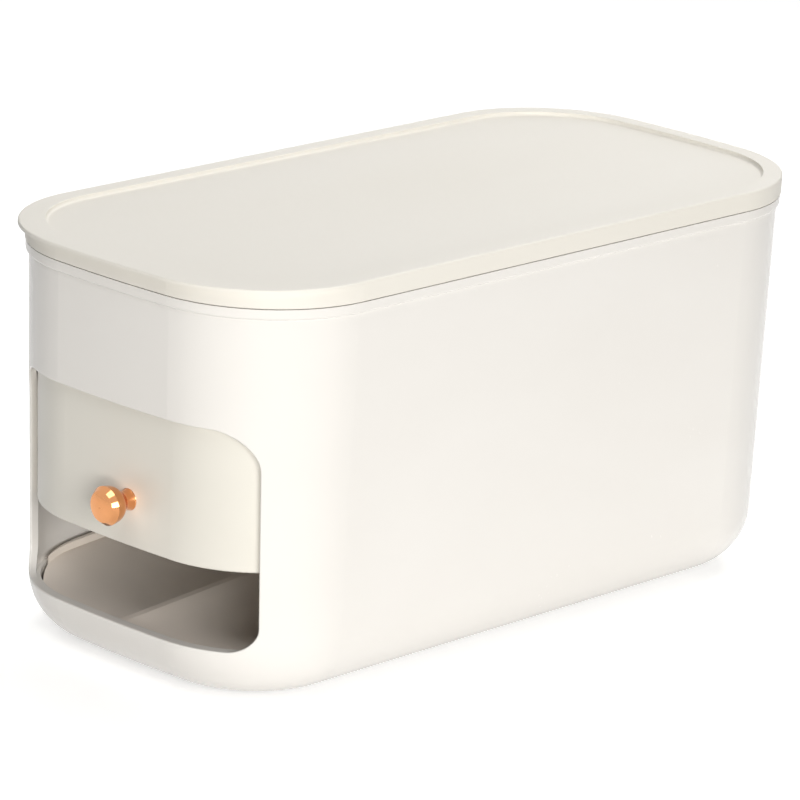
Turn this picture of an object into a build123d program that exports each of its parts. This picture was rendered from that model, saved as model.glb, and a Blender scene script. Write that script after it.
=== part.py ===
from build123d import *
from math import asin, atan2, cos, degrees, pi, radians, sin, sqrt, tan
import os

# Two-deck rolling dispenser with a lift-up door. Millimetres, X across, front towards -Y, +Z up.
# The origin is on the table, under the middle of the box.

# Each finished piece is written to this folder
os.makedirs("parts", exist_ok=True)

# Overall size, over the lid
width = 165.0
length = 333.5
height = 170.0

# Plan shape: straight sides, large corners and gently bowed ends
corner_radius = 54.4
end_radius = 570.0

# Tub shell
wall = 3.0
draft = 1.233
base_radius = 24.7
rim_band_height = 4.3
rim_band_proud = 1.3
rim_band_edge_radius = 1.2
rim_thickness = 1.9
wall_setback = 1.73

# Lid
skirt_height = 8.1
skirt_setback = 0.1
skirt_edge_radius = 0.6
lid_top = 2.2
lid_shadow_gap = 0.3
lid_running_gap = 0.4
recess_border = 8.0
recess_depth = 1.8
recess_floor_radius = 1.2
recess_edge_radius = 0.3
finger_lip_reach = 3.8
finger_lip_thickness = 1.4
finger_lip_radius = 0.8

# Window in the front
sill_height = 23.1
window_height = 89.1
window_margin = 17.3
window_top_radius = 16.0
window_bottom_radius = 10.0
sill_thickening = 1.7
window_edge_radius = 0.6

# Sliding door behind the window
door_thickness = 2.2
door_gap = 0.5
door_slot_height = 31.9
door_height = 65.0
door_side_overlap = 13.0
door_edge_radius = 0.6

# Door channels, moulded inside the tub
channel_lip_gap = 0.8
channel_lip = 2.0
channel_lip_cover = 3.5
channel_side_gap = 0.8
channel_web = 2.4
channel_foot = 3.0
channel_root = 0.4

# Knob and its screw
knob_x = 7.3
knob_above_door_edge = 18.8
knob_length = 15.0
knob_radius = 7.85
knob_neck_radius = 4.0
knob_foot_radius = 4.4
knob_seat_depth = 0.1
screw_radius = 2.0
screw_reach = 7.0
screw_head_radius = 3.6
screw_head_height = 2.4
screw_fit = 0.05
washer_radius = 4.6
washer_thickness = 0.8
boss_radius = 5.6
boss_height = 1.0

# Trays: the lower one falls to the window, the upper one to the rear
slope = 4.5
tray_thickness = 2.2
tray_wall = 2.0
tray_wall_height = 3.0
tray_ridge = 3.0
lane_dish = 3.5
lane_border = 4.0
tray_passage = 49.0
lower_tray_below_sill = 2.0
lower_tray_clearance = 0.6
lower_tray_inset = 0.7
upper_tray_clearance = 0.8
upper_tray_front_setback = 14.0
drop_gap = 56.0
web_thickness = 2.0
web_end_margin = 20.0
ledge_width = 3.5
ledge_height = 5.0
ledge_root = 1.2
ledge_end_margin = 14.0

# Drop pads
pad_thickness = 2.0
pad_length = 34.0
pad_side_margin = 6.0
pad_rear_gap = 6.0
pad_wall_gap = 0.8

# Feet
foot_radius = 8.0
foot_thickness = 1.6
foot_proud = 0.8
foot_fit = 0.1
foot_inset_x = 46.5
foot_inset_y = 48.7
foot_edge_radius = 0.3

# Heights worked out from the sizes above
base_level = foot_proud
floor_level = base_level + wall
skirt_bottom = height - skirt_height
rim_band_top = skirt_bottom - lid_shadow_gap
rim_band_bottom = rim_band_top - rim_band_height
rim_top = height - lid_top
panel_top = height - recess_depth
panel_underside = panel_top - lid_top
door_bottom = sill_height + door_slot_height
door_top = door_bottom + door_height
knob_height = door_bottom + knob_above_door_edge

# Centres of the corner and end arcs, shared by every outline
corner_x = width / 2 - corner_radius
end_hub = length / 2 - end_radius
corner_y = end_hub + sqrt((end_radius - corner_radius) ** 2 - corner_x**2)
blend_turn = atan2(corner_x, corner_y - end_hub)
lean = tan(radians(draft))
fall = tan(radians(slope))


def wall_inset(level):
    """How far the outer wall lies inside the lid's outline at a level."""
    return wall_setback + (rim_band_bottom - level) * lean


def outline(level, inset, front_reach=0.0):
    """Plan outline at a level, moved in by inset, with its front end moved out by front_reach."""
    corner = corner_radius - inset
    turns = (blend_turn, (blend_turn + pi / 2) / 2, pi / 2)
    with BuildSketch(Plane.XY.offset(level)) as plan:
        with BuildLine():
            for end, reach in ((1, 0.0), (-1, front_reach)):
                arc = [
                    (corner_x + corner * sin(turn), end * (corner_y + reach + corner * cos(turn)))
                    for turn in turns
                ]
                left_arc = [(-x, y) for x, y in arc]
                ThreePointArc(left_arc[0], (0, end * (length / 2 - inset + reach)), arc[0])
                ThreePointArc(*arc)
                ThreePointArc(*left_arc)
            for side in (1, -1):
                edge_x = side * (width / 2 - inset)
                Line((edge_x, corner_y), (edge_x, -corner_y - front_reach))
        make_face()
    return plan.sketch


def front_fan(level, turn):
    """Sector of the plan in front of the corner centres, turn radians each side of straight ahead."""
    far = length
    side_x = corner_x + far * sin(turn)
    side_y = -corner_y - far * cos(turn)
    with BuildSketch(Plane.XY.offset(level)) as fan:
        with BuildLine():
            Polyline(
                (-corner_x, -corner_y),
                (corner_x, -corner_y),
                (side_x, side_y),
                (-side_x, side_y),
                close=True,
            )
        make_face()
    return fan.sketch


def front_band(bottom, top, outer_depth, inner_depth, turn, inner_turn=None):
    """Shell that follows the front wall between two depths behind its face, cut square at its sides."""
    inset = wall_inset(bottom)
    with BuildPart() as band:
        extrude(outline(bottom, inset + outer_depth), amount=top - bottom, taper=-draft)
        extrude(
            outline(bottom, inset + inner_depth),
            amount=top - bottom,
            taper=-draft,
            mode=Mode.SUBTRACT,
        )
        extrude(front_fan(bottom, turn), amount=top - bottom, mode=Mode.INTERSECT)
        if inner_turn is not None:
            extrude(front_fan(bottom, inner_turn), amount=top - bottom, mode=Mode.SUBTRACT)
    return band.part


# Turn angles, seen from the corner centres, of the window, the door and its channels
inner_corner = corner_radius - wall_inset((door_bottom + door_top) / 2) - wall
window_turn = asin((width / 2 - window_margin - corner_x) / inner_corner)
door_turn = window_turn + door_side_overlap / inner_corner
slot_turn = door_turn + channel_side_gap / inner_corner
channel_turn = slot_turn + channel_web / inner_corner
lip_turn = door_turn - channel_lip_cover / inner_corner
door_face_depth = wall + door_gap
door_back_depth = door_face_depth + door_thickness
slot_depth = door_back_depth + channel_lip_gap
channel_depth = slot_depth + channel_lip

# Tray levels: each tray's lane borders lie on a sloping plane
side_inset = wall_inset(floor_level + base_radius) + wall
lower_inset = side_inset + sill_thickening + lower_tray_inset + lower_tray_clearance
lower_front = length / 2 - lower_inset
lower_half = width / 2 - lower_inset
lane_inner = tray_ridge / 2
lane_outer = lower_half - lane_border
lane_middle = (lane_inner + lane_outer) / 2
upper_rear = length / 2 - side_inset - drop_gap
lower_rear_level = sill_height - lower_tray_below_sill + (upper_rear + lower_front) * fall
upper_rear_level = lower_rear_level + tray_passage + tray_thickness
upper_inset = wall_inset(upper_rear_level - tray_thickness - lane_dish) + wall + upper_tray_clearance


def lower_level(y):
    """Level of the lower tray's lane borders at y."""
    return lower_rear_level + (y - upper_rear) * fall


def upper_level(y):
    """Level of the upper tray's lane borders at y."""
    return upper_rear_level + (upper_rear - y) * fall


def lane_section(y, level, half_width, above, below=0.0):
    """Cross-section at y of both dished lanes, from below under their surface to above over their borders."""
    with BuildSketch(Plane.XZ.offset(-y)) as section:
        with BuildLine():
            for side in (1, -1):
                ThreePointArc(
                    (side * lane_inner, level - below),
                    (side * lane_middle, level - below - lane_dish),
                    (side * lane_outer, level - below),
                )
                Line((side * lane_outer, level - below), (side * half_width, level - below))
                Line((side * half_width, level - below), (side * half_width, level + above))
            Line((-lane_inner, level - below), (lane_inner, level - below))
            Line((-half_width, level + above), (half_width, level + above))
        make_face()
    return section.sketch


def depth_behind_face(point):
    """How far a point near the front lies behind the tub's outer face."""
    side = abs(point.X) - corner_x
    ahead = -point.Y - corner_y
    if atan2(side, ahead) > blend_turn:
        return corner_radius - wall_inset(point.Z) - sqrt(side**2 + ahead**2)
    return end_radius - wall_inset(point.Z) - sqrt(point.X**2 + (point.Y + end_hub) ** 2)


# The hollow of the tub, with the same draft as its outside
with BuildPart() as hollow:
    extrude(
        outline(floor_level, wall_inset(floor_level) + wall),
        amount=rim_top + wall - floor_level,
        taper=-draft,
    )
    fillet(hollow.edges().group_by(Axis.Z)[0], radius=base_radius - wall)

# The outside of the tub, up to the rim band
with BuildPart() as envelope:
    extrude(
        outline(base_level, wall_inset(base_level)),
        amount=rim_band_top - base_level,
        taper=-draft,
    )
    fillet(envelope.edges().group_by(Axis.Z)[0], radius=base_radius)

# Inward thickening of the wall below the window and behind its jambs, kept inside the rounded base
with BuildPart() as sill_rail:
    add(
        front_band(
            floor_level,
            sill_height,
            wall - channel_root,
            wall + sill_thickening,
            channel_turn,
        )
    )
    add(envelope.part, mode=Mode.INTERSECT)

# The band round the tub's rim, nearly flush with the lid's skirt, with a rounded lower edge
with BuildPart() as rim_band:
    extrude(outline(rim_band_bottom, wall_setback - rim_band_proud), amount=rim_band_height)
    fillet(rim_band.edges().group_by(Axis.Z)[0], radius=rim_band_edge_radius)

# Tub: drafted shell with a window, a proud rim band, a stepped rim, door channels and tray ledges
with BuildPart() as tub:
    add(envelope.part)
    add(rim_band.part)
    rim_outer_inset = wall_inset(rim_top) + wall - rim_thickness
    extrude(outline(rim_band_top, rim_outer_inset), amount=rim_top - rim_band_top)
    add(hollow.part, mode=Mode.SUBTRACT)
    with BuildSketch(Plane.XZ.offset(length / 2)) as window:
        with Locations((0, sill_height + window_height / 2)):
            Rectangle(width - 2 * window_margin, window_height)
        fillet(window.vertices().group_by(Axis.Y)[-1], radius=window_top_radius)
        fillet(window.vertices().group_by(Axis.Y)[0], radius=window_bottom_radius)
    extrude(amount=corner_y - length / 2, mode=Mode.SUBTRACT)
    window_edges = tub.edges(Select.LAST)
    fillet(
        [edge for edge in window_edges if depth_behind_face(edge @ 0.5) < wall / 2],
        radius=window_edge_radius,
    )
    add(sill_rail.part)
    add(
        front_band(
            door_bottom - channel_foot,
            rim_band_bottom,
            wall - channel_root,
            channel_depth,
            channel_turn,
            lip_turn,
        )
    )
    add(
        front_band(door_bottom, rim_top, wall, slot_depth, slot_turn),
        mode=Mode.SUBTRACT,
    )
    for side in (1, -1):
        ledge_front = -corner_y + ledge_end_margin
        ledge_rear = upper_rear - ledge_end_margin
        ledge_x = width / 2 - upper_inset + upper_tray_clearance - ledge_width
        with BuildSketch(Plane.YZ.offset(side * ledge_x)) as ledge:
            with BuildLine():
                Polyline(
                    (ledge_front, upper_level(ledge_front) - tray_thickness),
                    (ledge_rear, upper_level(ledge_rear) - tray_thickness),
                    (ledge_rear, upper_level(ledge_rear) - tray_thickness - ledge_height),
                    (ledge_front, upper_level(ledge_front) - tray_thickness - ledge_height),
                    close=True,
                )
            make_face()
        extrude(amount=side * (ledge_width + ledge_root))
    foot_x = width / 2 - foot_inset_x
    foot_y = length / 2 - foot_inset_y
    with BuildSketch(Plane.XY.offset(base_level)) as foot_recesses:
        with GridLocations(2 * foot_x, 2 * foot_y, 2, 2):
            Circle(foot_radius + foot_fit)
    extrude(amount=foot_thickness - foot_proud, mode=Mode.SUBTRACT)
tub.part.label = "tub"
export_step(tub.part, "parts/tub.step")

# The recess in the lid's top, with a rounded floor edge
with BuildPart() as recess:
    extrude(outline(panel_top, recess_border), amount=2 * recess_depth)
    fillet(recess.edges().group_by(Axis.Z)[0], radius=recess_floor_radius)

# Lid: skirt round the rim, sunk panel, and a finger lip that fades out round the front corners
with BuildPart() as lid:
    lip_bottom = height - finger_lip_thickness
    skirt_taper = degrees(atan2(skirt_setback, lip_bottom - skirt_bottom))
    extrude(
        outline(skirt_bottom, skirt_setback),
        amount=lip_bottom - skirt_bottom,
        taper=-skirt_taper,
    )
    fillet(lid.edges().group_by(Axis.Z)[0], radius=skirt_edge_radius)
    extrude(outline(lip_bottom, 0, finger_lip_reach), amount=finger_lip_thickness)
    extrude(
        outline(skirt_bottom, rim_outer_inset - lid_running_gap),
        amount=rim_top - skirt_bottom,
        mode=Mode.SUBTRACT,
    )
    extrude(outline(panel_underside, recess_border - lid_top), amount=rim_top - panel_underside)
    fillet(lid.edges().group_by(Axis.Z)[-1], radius=finger_lip_radius)
    add(recess.part, mode=Mode.SUBTRACT)
    fillet(lid.faces().sort_by(Axis.Z)[-1].inner_wires()[0].edges(), radius=recess_edge_radius)
lid.part.label = "lid"
export_step(lid.part, "parts/lid.step")

# Seat of the knob, square to the leaning door
seat_inset = wall_inset(knob_height) + door_face_depth + knob_seat_depth
seat_y = -end_hub - sqrt((end_radius - seat_inset) ** 2 - knob_x**2)
seat = (knob_x, seat_y, knob_height)
outward = (0, -cos(radians(draft)), -sin(radians(draft)))
knob_axis = Axis(seat, outward)
seat_plane = Plane(origin=seat, x_dir=(1, 0, 0), z_dir=outward)
back_plane = seat_plane.offset(-(door_thickness - knob_seat_depth + boss_height))

# Door: curved panel with a boss behind the knob
with BuildPart() as door:
    add(front_band(door_bottom, door_top, door_face_depth, door_back_depth, door_turn))
    fillet(door.edges().group_by(Axis.Z)[0], radius=door_edge_radius)
    with BuildSketch(back_plane) as boss:
        Circle(boss_radius)
    extrude(amount=boss_height + door_thickness / 2)
    with BuildSketch(seat_plane) as knob_spot:
        Circle(knob_foot_radius + screw_fit)
    extrude(amount=door_gap, mode=Mode.SUBTRACT)
    with BuildSketch(back_plane) as screw_hole:
        Circle(screw_radius + screw_fit)
    extrude(amount=boss_height + door_thickness, mode=Mode.SUBTRACT)
door.part.label = "door"
export_step(door.part, "parts/door.step")

# Knob, turned upright: short flared neck, full round head, domed front and a blind screw hole
with BuildPart() as turning:
    with BuildSketch(Plane.XZ) as profile:
        with BuildLine():
            foot_edge = (knob_foot_radius, 0)
            neck = (knob_neck_radius, 0.16 * knob_length)
            shoulder = (0.94 * knob_radius, 0.60 * knob_length)
            brow = (knob_radius, 0.80 * knob_length)
            bevel = (0.80 * knob_radius, 0.94 * knob_length)
            Spline(foot_edge, neck, tangents=((-0.6, 1), (0, 1)))
            Spline(neck, shoulder, tangents=((0, 1), (0.25, 1)))
            Spline(shoulder, brow, tangents=((0.25, 1), (0.1, 1)))
            Line(brow, bevel)
            TangentArc((0, knob_length), bevel, tangent=(1, 0))
            Polyline((0, knob_length), (0, 0), foot_edge)
        make_face()
    revolve(axis=Axis.Z)
    with BuildSketch(Plane.XY) as thread_hole:
        Circle(screw_radius + screw_fit)
    extrude(amount=screw_reach + screw_fit, mode=Mode.SUBTRACT)

# Knob in its place on the door
with BuildPart() as knob:
    with Locations(seat_plane):
        add(turning.part)
knob.part.label = "knob"
export_step(knob.part, "parts/knob.step")

# Washer under the screw head
with BuildPart() as knob_washer:
    with BuildSketch(back_plane) as ring:
        Circle(washer_radius)
        Circle(screw_radius + screw_fit, mode=Mode.SUBTRACT)
    extrude(amount=-washer_thickness)
knob_washer.part.label = "knob_washer"
export_step(knob_washer.part, "parts/knob_washer.step")

# Pan-head screw from behind the door
with BuildPart() as knob_screw:
    with BuildSketch(back_plane.offset(-washer_thickness)) as head:
        Circle(screw_head_radius)
    extrude(amount=-screw_head_height)
    fillet(knob_screw.faces().sort_by(knob_axis)[0].edges(), radius=screw_head_height / 2)
    with BuildSketch(back_plane.offset(-washer_thickness)) as shank:
        Circle(screw_radius)
    extrude(amount=washer_thickness + boss_height + door_thickness - knob_seat_depth + screw_reach)
knob_screw.part.label = "knob_screw"
export_step(knob_screw.part, "parts/knob_screw.step")

# Upper tray: dished lanes that fall to the rear, walls at the front and sides, open at the rear
upper_half = width / 2 - upper_inset
upper_front = -length / 2 + upper_inset + upper_tray_front_setback
upper_run = (0, cos(radians(slope)), -sin(radians(slope)))
upper_length = (upper_rear - upper_front) / cos(radians(slope))
with BuildPart() as upper_space:
    extrude(
        lane_section(upper_front, upper_level(upper_front), upper_half, above=2 * tray_wall_height),
        amount=upper_length + tray_wall,
        dir=upper_run,
    )
    extrude(
        outline(0, upper_inset + tray_wall, -upper_tray_front_setback),
        amount=height,
        mode=Mode.INTERSECT,
    )
with BuildPart() as upper_chute:
    extrude(
        lane_section(
            upper_front,
            upper_level(upper_front),
            upper_half,
            above=tray_wall_height,
            below=tray_thickness,
        ),
        amount=upper_length,
        dir=upper_run,
    )
    extrude(
        outline(0, upper_inset, -upper_tray_front_setback),
        amount=height,
        mode=Mode.INTERSECT,
    )
    add(upper_space.part, mode=Mode.SUBTRACT)
upper_chute.part.label = "upper_chute"
export_step(upper_chute.part, "parts/upper_chute.step")

# Lower tray: dished lanes that fall to the window, walls at the sides and rear, on three webs
lower_run = (0, cos(radians(slope)), sin(radians(slope)))
lower_length = 2 * lower_front / cos(radians(slope))
with BuildPart() as lower_space:
    extrude(
        lane_section(-lower_front, lower_level(-lower_front), lower_half, above=2 * tray_wall_height),
        amount=lower_length,
        dir=lower_run,
    )
    extrude(
        outline(0, lower_inset + tray_wall, 2 * tray_wall),
        amount=height,
        mode=Mode.INTERSECT,
    )
with BuildPart() as lower_chute:
    extrude(
        lane_section(
            -lower_front,
            lower_level(-lower_front),
            lower_half,
            above=tray_wall_height,
            below=tray_thickness,
        ),
        amount=lower_length,
        dir=lower_run,
    )
    extrude(outline(0, lower_inset), amount=height, mode=Mode.INTERSECT)
    add(lower_space.part, mode=Mode.SUBTRACT)
    web_end = lower_front - base_radius - web_end_margin
    web_sink = lane_dish + tray_thickness / 2
    for web_x, sink in ((-lane_middle, web_sink), (0, tray_thickness / 2), (lane_middle, web_sink)):
        with BuildSketch(Plane.YZ.offset(web_x - web_thickness / 2)) as web:
            with BuildLine():
                Polyline(
                    (-web_end, floor_level),
                    (web_end, floor_level),
                    (web_end, lower_level(web_end) - sink),
                    (-web_end, lower_level(-web_end) - sink),
                    close=True,
                )
            make_face()
        extrude(amount=web_thickness)
lower_chute.part.label = "lower_chute"
export_step(lower_chute.part, "parts/lower_chute.step")

# Drop pads: one soft pad in each lane of the lower tray, under the gap behind the upper tray
pad_rear = lower_front - tray_wall - pad_rear_gap
pad_front = pad_rear - pad_length
pad_inner = tray_ridge / 2 + pad_side_margin
pad_outer = lower_half - lane_border - pad_side_margin
for name, side in (("drop_pad_left", -1), ("drop_pad_right", 1)):
    with BuildPart() as drop_pad:
        with BuildSketch(Plane.XZ.offset(-pad_front)) as lens:
            with BuildLine():
                for rise in (0, pad_thickness):
                    ThreePointArc(
                        (side * lane_inner, lower_level(pad_front)),
                        (side * lane_middle, lower_level(pad_front) - lane_dish + rise),
                        (side * lane_outer, lower_level(pad_front)),
                    )
            make_face()
        extrude(amount=pad_length, dir=lower_run)
        with BuildSketch(Plane.XY) as pad_plan:
            with Locations((side * (pad_inner + pad_outer) / 2, (pad_front + pad_rear) / 2)):
                Rectangle(pad_outer - pad_inner, pad_length)
        extrude(amount=height, mode=Mode.INTERSECT)
        extrude(outline(0, lower_inset + tray_wall + pad_wall_gap), amount=height, mode=Mode.INTERSECT)
    drop_pad.part.label = name
    export_step(drop_pad.part, f"parts/{name}.step")

# Feet: four soft pads in recesses of the base
for name, side, end in (
    ("foot_front_left", -1, -1),
    ("foot_front_right", 1, -1),
    ("foot_rear_left", -1, 1),
    ("foot_rear_right", 1, 1),
):
    with BuildPart() as foot:
        with BuildSketch(Plane.XY) as pad_face:
            with Locations((side * foot_x, end * foot_y)):
                Circle(foot_radius)
        extrude(amount=foot_thickness)
        fillet(foot.edges().group_by(Axis.Z)[0], radius=foot_edge_radius)
    foot.part.label = name
    export_step(foot.part, f"parts/{name}.step")
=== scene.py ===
from math import cos, radians, sin

import bpy
from mathutils import Matrix, Vector

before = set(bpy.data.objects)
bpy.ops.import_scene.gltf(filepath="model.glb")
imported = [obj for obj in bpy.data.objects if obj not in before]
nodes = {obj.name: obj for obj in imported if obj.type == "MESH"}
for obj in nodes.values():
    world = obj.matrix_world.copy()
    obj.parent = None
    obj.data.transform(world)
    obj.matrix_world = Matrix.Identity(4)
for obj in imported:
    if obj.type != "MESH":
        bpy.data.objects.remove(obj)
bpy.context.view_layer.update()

# ---- Camera: the photograph's own viewing angle, from above the near corner through a long lens.
# Its place, roll and lens were fitted to the box's outline in an 800 x 800 picture.
camera_turn = radians(43.676)
camera_rise = radians(16.947)
camera_roll = radians(2.613)
camera_distance = 2.0167
camera_target = Vector((0.01198, -0.01572, 0.088))
camera_reach = 50.0
film_width_mm = 36.0
lens_length_mm = 224.79
ahead = Vector((
    -sin(camera_turn) * cos(camera_rise),
    cos(camera_turn) * cos(camera_rise),
    -sin(camera_rise),
))
level_right = ahead.cross(Vector((0, 0, 1))).normalized()
level_up = level_right.cross(ahead)
right = level_right * cos(camera_roll) + level_up * sin(camera_roll)
up = level_up * cos(camera_roll) - level_right * sin(camera_roll)
lens = bpy.data.cameras.new("photo_lens")
lens.sensor_width = film_width_mm
lens.lens = lens_length_mm
lens.clip_end = camera_reach
camera = bpy.data.objects.new("photo_camera", lens)
bpy.context.collection.objects.link(camera)
camera.matrix_world = Matrix.Translation(camera_target - ahead * camera_distance) @ Matrix(
    (right, up, -ahead)
).transposed().to_4x4()
bpy.context.scene.camera = camera
bpy.context.scene.view_settings.view_transform = "Standard"

# ---- Tub: one deep injection moulding in warm white glossy plastic, polished outside.
# The steel mould leaves a faint flow shading, a fine skin and a few handling scuffs.


def link_chain(tree, *pairs):
    """Joins each (output, input) pair of sockets in a node tree."""
    for output, socket in pairs:
        tree.links.new(output, socket)


def noise(tree, detail, scale=1.0):
    """Noise texture with a number of cells to the metre, unless its scale is linked."""
    texture = tree.nodes.new("ShaderNodeTexNoise")
    texture.inputs["Scale"].default_value = scale
    texture.inputs["Detail"].default_value = detail
    return texture


def cut(tree, start, full):
    """Map range node that gives 0 up to start, 1 from full on, and a straight rise between."""
    levels = tree.nodes.new("ShaderNodeMapRange")
    levels.inputs["From Min"].default_value = start
    levels.inputs["From Max"].default_value = full
    return levels


def spread(tree, low, high):
    """Map range node that turns a value of 0 to 1 into one of low to high."""
    levels = tree.nodes.new("ShaderNodeMapRange")
    levels.inputs["To Min"].default_value = low
    levels.inputs["To Max"].default_value = high
    return levels


def two_tones(tree, low, high):
    """Mix node from one colour to another. Its colours are inputs 6 and 7, and its result is output 2."""
    tone = tree.nodes.new("ShaderNodeMix")
    tone.data_type = "RGBA"
    tone.inputs[6].default_value = (*low, 1.0)
    tone.inputs[7].default_value = (*high, 1.0)
    return tone


def relief(tree, strength, depth):
    """Bump node whose height runs over a depth in metres."""
    bump = tree.nodes.new("ShaderNodeBump")
    bump.inputs["Strength"].default_value = strength
    bump.inputs["Distance"].default_value = depth
    return bump


def moulded_skin():
    """Shader group of a moulded plastic skin, in object coordinates.
    Flow is slow noise stretched along the melt's way, Scuff is thin noise cut off high,
    and Grain is fine noise used as a height."""
    flow_stretch = (1.0, 0.55, 1.6)
    flow_swirl = 0.6
    scuff_stretch = (90.0, 700.0, 420.0)
    scuff_turn = (0.35, 0.2, 0.6)
    scuff_start, scuff_full = 0.60, 0.72
    patch_scale = 26.0
    patch_start, patch_full = 0.45, 0.70
    group = bpy.data.node_groups.new("moulded_skin", "ShaderNodeTree")
    for name, default in (("Flow Scale", 9.0), ("Grain Scale", 2200.0), ("Scuff Amount", 0.3)):
        socket = group.interface.new_socket(name, in_out="INPUT", socket_type="NodeSocketFloat")
        socket.default_value = default
    for name in ("Flow", "Scuff", "Grain"):
        group.interface.new_socket(name, in_out="OUTPUT", socket_type="NodeSocketFloat")
    source = group.nodes.new("NodeGroupInput")
    target = group.nodes.new("NodeGroupOutput")
    place = group.nodes.new("ShaderNodeTexCoord")
    flow_place = group.nodes.new("ShaderNodeMapping")
    flow_place.inputs["Scale"].default_value = flow_stretch
    flow = noise(group, detail=3.0)
    flow.inputs["Distortion"].default_value = flow_swirl
    scuff_place = group.nodes.new("ShaderNodeMapping")
    scuff_place.inputs["Scale"].default_value = scuff_stretch
    scuff_place.inputs["Rotation"].default_value = scuff_turn
    scuffs = noise(group, detail=4.0)
    patches = noise(group, detail=2.0, scale=patch_scale)
    thin = cut(group, scuff_start, scuff_full)
    patchy = cut(group, patch_start, patch_full)
    both = group.nodes.new("ShaderNodeMath")
    both.operation = "MULTIPLY"
    amount = group.nodes.new("ShaderNodeMath")
    amount.operation = "MULTIPLY"
    grain = noise(group, detail=2.0)
    link_chain(
        group,
        (place.outputs["Object"], flow_place.inputs["Vector"]),
        (flow_place.outputs["Vector"], flow.inputs["Vector"]),
        (source.outputs["Flow Scale"], flow.inputs["Scale"]),
        (flow.outputs["Fac"], target.inputs["Flow"]),
        (place.outputs["Object"], scuff_place.inputs["Vector"]),
        (scuff_place.outputs["Vector"], scuffs.inputs["Vector"]),
        (scuffs.outputs["Fac"], thin.inputs["Value"]),
        (place.outputs["Object"], patches.inputs["Vector"]),
        (patches.outputs["Fac"], patchy.inputs["Value"]),
        (thin.outputs["Result"], both.inputs[0]),
        (patchy.outputs["Result"], both.inputs[1]),
        (both.outputs["Value"], amount.inputs[0]),
        (source.outputs["Scuff Amount"], amount.inputs[1]),
        (amount.outputs["Value"], target.inputs["Scuff"]),
        (place.outputs["Object"], grain.inputs["Vector"]),
        (source.outputs["Grain Scale"], grain.inputs["Scale"]),
        (grain.outputs["Fac"], target.inputs["Grain"]),
    )
    return group


skin_group = moulded_skin()


def new_finish(name):
    """New material, with its node tree and its Principled shader."""
    material = bpy.data.materials.new(name)
    material.use_nodes = True
    tree = material.node_tree
    return material, tree, tree.nodes["Principled BSDF"]


def moulded_plastic(
    name, light, dark, smooth, rough, grain_depth, scuffs, flow_scale=9.0, grain_scale=2200.0
):
    """Plastic whose colour and roughness run between two values with the flow.
    Scuffs dull it, and the grain is a fine bump."""
    flow_start, flow_full = 0.32, 0.68
    grain_strength = 0.35
    plastic_index = 1.49
    material, tree, shader = new_finish(name)
    shader.inputs["IOR"].default_value = plastic_index
    skin = tree.nodes.new("ShaderNodeGroup")
    skin.node_tree = skin_group
    skin.inputs["Flow Scale"].default_value = flow_scale
    skin.inputs["Grain Scale"].default_value = grain_scale
    skin.inputs["Scuff Amount"].default_value = scuffs
    flow = cut(tree, flow_start, flow_full)
    tone = two_tones(tree, dark, light)
    gloss = spread(tree, rough, smooth)
    dull = tree.nodes.new("ShaderNodeMath")
    dull.operation = "ADD"
    grain = relief(tree, grain_strength, grain_depth)
    link_chain(
        tree,
        (skin.outputs["Flow"], flow.inputs["Value"]),
        (flow.outputs["Result"], tone.inputs[0]),
        (tone.outputs[2], shader.inputs["Base Color"]),
        (flow.outputs["Result"], gloss.inputs["Value"]),
        (gloss.outputs["Result"], dull.inputs[0]),
        (skin.outputs["Scuff"], dull.inputs[1]),
        (dull.outputs["Value"], shader.inputs["Roughness"]),
        (skin.outputs["Grain"], grain.inputs["Height"]),
        (grain.outputs["Normal"], shader.inputs["Normal"]),
    )
    return material


def finish_node(node, material):
    """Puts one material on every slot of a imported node."""
    piece = nodes[node]
    if not piece.material_slots:
        piece.data.materials.append(material)
    for slot in piece.material_slots:
        slot.material = material


tub_finish = moulded_plastic(
    "tub_glossy_white",
    light=(0.865, 0.840, 0.805),
    dark=(0.845, 0.818, 0.780),
    smooth=0.20,
    rough=0.27,
    grain_depth=0.00002,
    scuffs=0.03,
)
finish_node("tub", tub_finish)

# ---- Lid: one lift-off moulding in cream plastic with a satin, very finely sparked skin.
# It rests on the tub's rim, and its skirt hangs round it.
lid_finish = moulded_plastic(
    "lid_satin_cream",
    light=(0.860, 0.828, 0.762),
    dark=(0.845, 0.812, 0.740),
    smooth=0.42,
    rough=0.50,
    grain_depth=0.00006,
    scuffs=0.12,
    flow_scale=6.0,
    grain_scale=1600.0,
)
finish_node("lid", lid_finish)

# ---- Door: a curved cream panel that slides up behind the window in the tub's channels.
# It has the lid's satin skin, a little smoother from being pushed by hand. Its cream is darker than the
# lid's: painted shade, standing in for the shadow of the window's jamb.
door_finish = moulded_plastic(
    "door_satin_cream",
    # light and dark: the lid's cream painted darker, as painted shade of the window's jamb
    light=(0.790, 0.762, 0.692),
    dark=(0.775, 0.746, 0.674),
    smooth=0.34,
    rough=0.42,
    grain_depth=0.00004,
    scuffs=0.10,
    flow_scale=14.0,
    grain_scale=1800.0,
)
finish_node("door", door_finish)

# ---- Knob: turned from solid metal, polished and plated in rose gold.
# The tool leaves faint rings round its axis under the plating.
knob_axis_x = 0.0073
knob_axis_z = 0.0738
knob_rings_scale = 4200.0
knob_cloud_scale = 180.0
knob_finish, knob_tree, knob_shader = new_finish("knob_rose_gold")
knob_shader.inputs["Metallic"].default_value = 1.0
knob_place = knob_tree.nodes.new("ShaderNodeTexCoord")
knob_axis_place = knob_tree.nodes.new("ShaderNodeMapping")
knob_axis_place.inputs["Location"].default_value = (-knob_axis_x, 0.0, -knob_axis_z)
knob_flat = knob_tree.nodes.new("ShaderNodeVectorMath")
knob_flat.operation = "MULTIPLY"
knob_flat.inputs[1].default_value = (1.0, 0.0, 1.0)
knob_reach = knob_tree.nodes.new("ShaderNodeVectorMath")
knob_reach.operation = "LENGTH"
knob_rings = noise(knob_tree, detail=2.0, scale=knob_rings_scale)
knob_rings.noise_dimensions = "1D"
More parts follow.
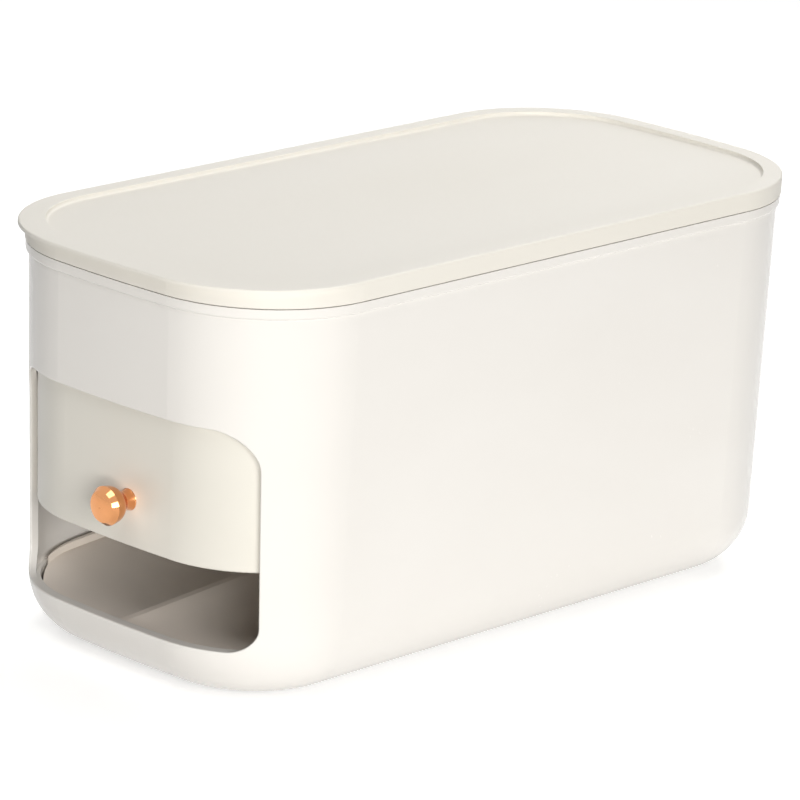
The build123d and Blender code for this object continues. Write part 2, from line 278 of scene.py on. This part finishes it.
knob_cloud = noise(knob_tree, detail=3.0, scale=knob_cloud_scale)
knob_tone = two_tones(knob_tree, low=(0.67, 0.295, 0.12), high=(0.76, 0.35, 0.155))
knob_gloss = spread(knob_tree, low=0.06, high=0.14)
knob_relief = relief(knob_tree, strength=0.2, depth=0.00001)
link_chain(
    knob_tree,
    (knob_place.outputs["Object"], knob_cloud.inputs["Vector"]),
    (knob_cloud.outputs["Fac"], knob_tone.inputs[0]),
    (knob_tone.outputs[2], knob_shader.inputs["Base Color"]),
    (knob_cloud.outputs["Fac"], knob_gloss.inputs["Value"]),
    (knob_gloss.outputs["Result"], knob_shader.inputs["Roughness"]),
    (knob_place.outputs["Object"], knob_axis_place.inputs["Vector"]),
    (knob_axis_place.outputs["Vector"], knob_flat.inputs[0]),
    (knob_flat.outputs["Vector"], knob_reach.inputs[0]),
    (knob_reach.outputs["Value"], knob_rings.inputs["W"]),
    (knob_rings.outputs["Fac"], knob_relief.inputs["Height"]),
    (knob_relief.outputs["Normal"], knob_shader.inputs["Normal"]),
)
finish_node("knob", knob_finish)

# ---- Knob screw and washer: bright zinc on steel, rolled and stamped.
# They sit behind the door and hold the knob.
zinc_spangle_scale = 1400.0
zinc_finish, zinc_tree, zinc_shader = new_finish("screw_bright_zinc")
zinc_shader.inputs["Metallic"].default_value = 1.0
zinc_place = zinc_tree.nodes.new("ShaderNodeTexCoord")
zinc_spangle = zinc_tree.nodes.new("ShaderNodeTexVoronoi")
zinc_spangle.inputs["Scale"].default_value = zinc_spangle_scale
zinc_tone = two_tones(zinc_tree, low=(0.60, 0.61, 0.63), high=(0.70, 0.70, 0.68))
zinc_gloss = spread(zinc_tree, low=0.24, high=0.40)
link_chain(
    zinc_tree,
    (zinc_place.outputs["Object"], zinc_spangle.inputs["Vector"]),
    (zinc_spangle.outputs["Color"], zinc_tone.inputs[0]),
    (zinc_tone.outputs[2], zinc_shader.inputs["Base Color"]),
    (zinc_spangle.outputs["Distance"], zinc_gloss.inputs["Value"]),
    (zinc_gloss.outputs["Result"], zinc_shader.inputs["Roughness"]),
)
for fastener in ("knob_screw", "knob_washer"):
    finish_node(fastener, zinc_finish)

# ---- Trays: two thin mouldings in white plastic, dished into two lanes. Their colour is painted warmer and lighter, as painted warm bounce light inside the tub.
# The lower one stands on three webs, and the upper one rests on the tub's ledges.
tray_finish = moulded_plastic(
    "tray_satin_white",
    # light and dark: white raised and warmed as painted bounce light in the dim inside of the tub
    light=(0.890, 0.815, 0.740),
    dark=(0.870, 0.792, 0.712),
    smooth=0.33,
    rough=0.40,
    grain_depth=0.00004,
    scuffs=0.18,
    flow_scale=12.0,
)
for tray in ("upper_chute", "lower_chute"):
    finish_node(tray, tray_finish)

# ---- Drop pads: soft closed-cell foam, die cut, stuck in the lanes of the lower tray.
# Their skin is a field of fine cells.
foam_cell_scale = 1300.0
foam_finish, foam_tree, foam_shader = new_finish("pad_foam")
foam_place = foam_tree.nodes.new("ShaderNodeTexCoord")
foam_cells = foam_tree.nodes.new("ShaderNodeTexVoronoi")
foam_cells.inputs["Scale"].default_value = foam_cell_scale
foam_tone = two_tones(foam_tree, low=(0.74, 0.73, 0.70), high=(0.66, 0.65, 0.62))
foam_gloss = spread(foam_tree, low=0.80, high=0.92)
foam_relief = relief(foam_tree, strength=0.6, depth=0.0002)
link_chain(
    foam_tree,
    (foam_place.outputs["Object"], foam_cells.inputs["Vector"]),
    (foam_cells.outputs["Distance"], foam_tone.inputs[0]),
    (foam_tone.outputs[2], foam_shader.inputs["Base Color"]),
    (foam_cells.outputs["Distance"], foam_gloss.inputs["Value"]),
    (foam_gloss.outputs["Result"], foam_shader.inputs["Roughness"]),
    (foam_cells.outputs["Distance"], foam_relief.inputs["Height"]),
    (foam_relief.outputs["Normal"], foam_shader.inputs["Normal"]),
)
for pad in ("drop_pad_left", "drop_pad_right"):
    finish_node(pad, foam_finish)

# ---- Feet: four soft rubber discs in recesses of the base.
# They are matt, with a fine moulded grain.
foot_finish = moulded_plastic(
    "foot_soft_rubber",
    light=(0.62, 0.61, 0.59),
    dark=(0.57, 0.56, 0.54),
    smooth=0.72,
    rough=0.82,
    grain_depth=0.0001,
    scuffs=0.1,
    flow_scale=60.0,
    grain_scale=3000.0,
)
for foot in ("foot_front_left", "foot_front_right", "foot_rear_left", "foot_rear_right"):
    finish_node(foot, foot_finish)

# ---- Studio: a plain white floor that fades into white surroundings, and six soft lamps.
# Camera, gloss and metal see the surroundings as white. The key lamp stands off the near corner,
# a high one in front reaches the window's sill, and one behind, kept out of the gloss, fills the back.
white = (1.0, 1.0, 1.0, 1.0)
floor_half = 2.0
floor_colour = (0.86, 0.86, 0.86, 1.0)
floor_glow = 0.52
floor_fade_start, floor_fade_end = 0.45, 1.20
room_light = 0.03
room_white = 1.0
lamp_target = Vector((0.0, 0.0, 0.08))


def seen_rays(tree):
    """Value of 1 for camera, gloss and transmission rays, and 0 for the rays that light the object."""
    rays = tree.nodes.new("ShaderNodeLightPath")
    camera_or_gloss = tree.nodes.new("ShaderNodeMath")
    camera_or_gloss.operation = "MAXIMUM"
    any_of_three = tree.nodes.new("ShaderNodeMath")
    any_of_three.operation = "MAXIMUM"
    link_chain(
        tree,
        (rays.outputs["Is Camera Ray"], camera_or_gloss.inputs[0]),
        (rays.outputs["Is Glossy Ray"], camera_or_gloss.inputs[1]),
        (camera_or_gloss.outputs["Value"], any_of_three.inputs[0]),
        (rays.outputs["Is Transmission Ray"], any_of_three.inputs[1]),
    )
    return any_of_three.outputs["Value"]


floor_mesh = bpy.data.meshes.new("floor")
floor_mesh.from_pydata(
    [
        (-floor_half, -floor_half, 0),
        (floor_half, -floor_half, 0),
        (floor_half, floor_half, 0),
        (-floor_half, floor_half, 0),
    ],
    [],
    [(0, 1, 2, 3)],
)
floor = bpy.data.objects.new("floor", floor_mesh)
bpy.context.collection.objects.link(floor)
floor_finish, floor_tree, floor_shader = new_finish("floor_white")
floor_tree.nodes.remove(floor_shader)
floor_paint = floor_tree.nodes.new("ShaderNodeBsdfDiffuse")
floor_paint.inputs["Color"].default_value = floor_colour
floor_lift = floor_tree.nodes.new("ShaderNodeEmission")
floor_strength = floor_tree.nodes.new("ShaderNodeMath")
floor_strength.operation = "MULTIPLY"
floor_strength.inputs[1].default_value = floor_glow
floor_sum = floor_tree.nodes.new("ShaderNodeAddShader")
floor_place = floor_tree.nodes.new("ShaderNodeTexCoord")
floor_reach = floor_tree.nodes.new("ShaderNodeVectorMath")
floor_reach.operation = "LENGTH"
floor_fade = cut(floor_tree, floor_fade_start, floor_fade_end)
floor_clear = floor_tree.nodes.new("ShaderNodeBsdfTransparent")
floor_mix = floor_tree.nodes.new("ShaderNodeMixShader")
link_chain(
    floor_tree,
    (seen_rays(floor_tree), floor_strength.inputs[0]),
    (floor_strength.outputs["Value"], floor_lift.inputs["Strength"]),
    (floor_paint.outputs["BSDF"], floor_sum.inputs[0]),
    (floor_lift.outputs["Emission"], floor_sum.inputs[1]),
    (floor_place.outputs["Object"], floor_reach.inputs[0]),
    (floor_reach.outputs["Value"], floor_fade.inputs["Value"]),
    (floor_fade.outputs["Result"], floor_mix.inputs["Fac"]),
    (floor_sum.outputs["Shader"], floor_mix.inputs[1]),
    (floor_clear.outputs["BSDF"], floor_mix.inputs[2]),
    (floor_mix.outputs["Shader"], floor_tree.nodes["Material Output"].inputs["Surface"]),
)
floor_mesh.materials.append(floor_finish)

world = bpy.data.worlds.new("white_studio")
bpy.context.scene.world = world
world.use_nodes = True
world_tree = world.node_tree
room = world_tree.nodes["Background"]
room.inputs["Color"].default_value = white
room_level = spread(world_tree, room_light, room_white)
link_chain(
    world_tree,
    (seen_rays(world_tree), room_level.inputs["Value"]),
    (room_level.outputs["Result"], room.inputs["Strength"]),
)

# Each lamp: its name, place, width, height, watts, tint, and whether gloss shows it.
for lamp_name, place, width, height, watts, tint, in_gloss in (
    ("key_softbox", (2.55, -1.30, 0.75), 1.8, 1.4, 46.8, (1.0, 0.99, 0.965), True),
    ("low_softbox", (1.60, -1.60, 0.22), 1.0, 0.40, 15.6, (1.0, 0.985, 0.955), True),
    ("top_softbox", (0.10, 0.40, 1.90), 1.4, 1.4, 9.8, (1.0, 0.995, 0.985), True),
    ("back_softbox", (-0.45, 1.05, 1.15), 1.0, 1.0, 7.0, (1.0, 0.995, 0.985), True),
    ("sill_softbox", (0.20, -1.10, 1.90), 1.2, 1.0, 9.1, (1.0, 0.995, 0.98), True),
    ("rear_softbox", (-2.00, 1.60, 0.45), 1.6, 0.9, 30.0, (1.0, 0.99, 0.97), False),
):
    lamp_data = bpy.data.lights.new(lamp_name, "AREA")
    lamp_data.shape = "ELLIPSE"
    lamp_data.size = width
    lamp_data.size_y = height
    lamp_data.energy = watts
    lamp_data.color = tint
    lamp = bpy.data.objects.new(lamp_name, lamp_data)
    lamp.visible_camera = False
    lamp.visible_glossy = in_gloss
    bpy.context.collection.objects.link(lamp)
    lamp_place = Vector(place)
    lamp_turn = (lamp_target - lamp_place).to_track_quat("-Z", "Y")
    lamp.matrix_world = Matrix.Translation(lamp_place) @ lamp_turn.to_matrix().to_4x4()
